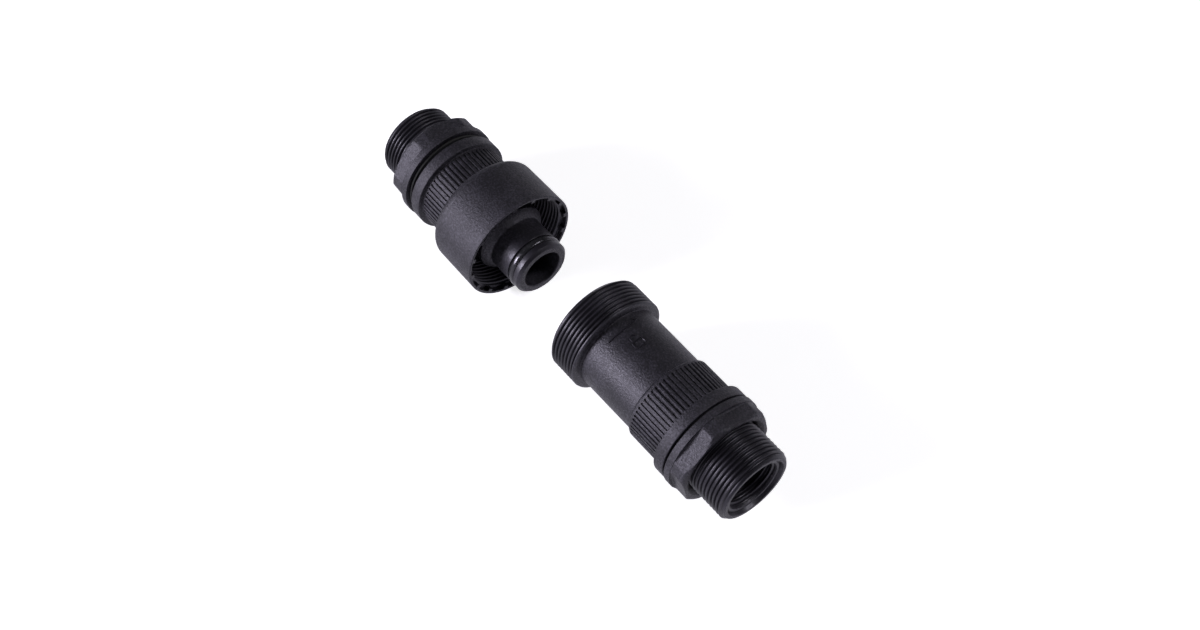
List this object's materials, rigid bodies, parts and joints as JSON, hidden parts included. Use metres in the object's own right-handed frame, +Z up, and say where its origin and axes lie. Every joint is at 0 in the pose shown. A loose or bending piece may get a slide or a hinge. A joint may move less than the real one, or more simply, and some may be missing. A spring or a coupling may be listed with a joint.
{
  "type": "quick release bulkhead coupling",
  "caption": "Two-part quick-release coupling with a captive threaded ring, a hollow sealed nose and panel-mount necks with lock nuts.",
  "frame": {"origin": "centre of the socket half's panel seat, on the common axis of both halves", "axes": "+X along the axis, from the plug half towards the socket half's bulkhead neck; +Z up"},
  "size_m": [0.1167, 0.0272, 0.0272],
  "materials": {
    "moulded_plastic": "matt moulded black plastic with a fine grain",
    "valve_plastic": "smooth moulded black plastic",
    "slip_plastic": "smooth low-friction black plastic",
    "seal_rubber": "matt black rubber",
    "glossy_seal": "lightly greased black rubber",
    "spring_steel": "bright drawn wire"
  },
  "bodies": {
    "socket_half": {"socket_rear_body": "moulded_plastic", "socket_front_sleeve": "moulded_plastic", "socket_body_o_ring": "seal_rubber", "socket_valve_spring": "spring_steel", "socket_spring_seat": "valve_plastic"},
    "socket_valve": {"socket_valve_poppet": "valve_plastic", "socket_valve_seal": "seal_rubber"},
    "socket_gasket": {"socket_panel_gasket": "seal_rubber"},
    "socket_nut": {"socket_lock_nut": "moulded_plastic"},
    "plug_half": {"plug_rear_body": "moulded_plastic", "plug_front_body": "moulded_plastic", "plug_body_o_ring": "seal_rubber", "plug_nose_o_ring": "glossy_seal", "plug_valve_spring": "spring_steel", "plug_spring_seat": "valve_plastic"},
    "plug_valve": {"plug_valve_poppet": "valve_plastic", "plug_valve_seal": "seal_rubber"},
    "plug_gasket": {"plug_panel_gasket": "seal_rubber"},
    "plug_nut": {"plug_lock_nut": "moulded_plastic"},
    "slip_ring": {"nut_slip_ring": "slip_plastic"},
    "ring_nut": {"coupling_nut": "moulded_plastic"}
  },
  "joints": [
    {"name": "mate_slide", "type": "slide", "parent": "socket_half", "child": "plug_half", "axis": [1, 0, 0], "range_m": [0, 0.028]},
    {"name": "coupling_nut_slide", "type": "slide", "parent": "plug_half", "child": "slip_ring", "axis": [-1, 0, 0], "range_m": [0, 0.007]},
    {"name": "coupling_nut_turn", "type": "hinge", "parent": "slip_ring", "child": "ring_nut", "pos_m": [-0.0693, 0, 0], "axis": [1, 0, 0], "continuous": true},
    {"name": "plug_valve_slide", "type": "slide", "parent": "plug_half", "child": "plug_valve", "axis": [-1, 0, 0], "range_m": [0, 0.0025], "stiffness_N_per_m": 900, "springref_m": -0.004, "deforming": ["plug_valve_spring"]},
    {"name": "socket_valve_slide", "type": "slide", "parent": "socket_half", "child": "socket_valve", "axis": [1, 0, 0], "range_m": [0, 0.0025], "stiffness_N_per_m": 900, "springref_m": -0.004, "deforming": ["socket_valve_spring"]},
    {"name": "plug_nut_travel", "type": "slide", "parent": "plug_half", "child": "plug_gasket", "axis": [-1, 0, 0], "range_m": [0, 0.007]},
    {"name": "plug_nut_turn", "type": "hinge", "parent": "plug_gasket", "child": "plug_nut", "pos_m": [-0.091, 0, 0], "axis": [1, 0, 0], "range_deg": [0, 2520]},
    {"name": "socket_nut_travel", "type": "slide", "parent": "socket_half", "child": "socket_gasket", "axis": [1, 0, 0], "range_m": [0, 0.008]},
    {"name": "socket_nut_turn", "type": "hinge", "parent": "socket_gasket", "child": "socket_nut", "pos_m": [0.0034, 0, 0], "axis": [-1, 0, 0], "range_deg": [0, 2880]}
  ],
  "couplings": [
    {"joint": "plug_nut_turn", "follows": "plug_nut_travel", "rad_per_m": 6283.2},
    {"joint": "socket_nut_turn", "follows": "socket_nut_travel", "rad_per_m": 6283.2}
  ]
}
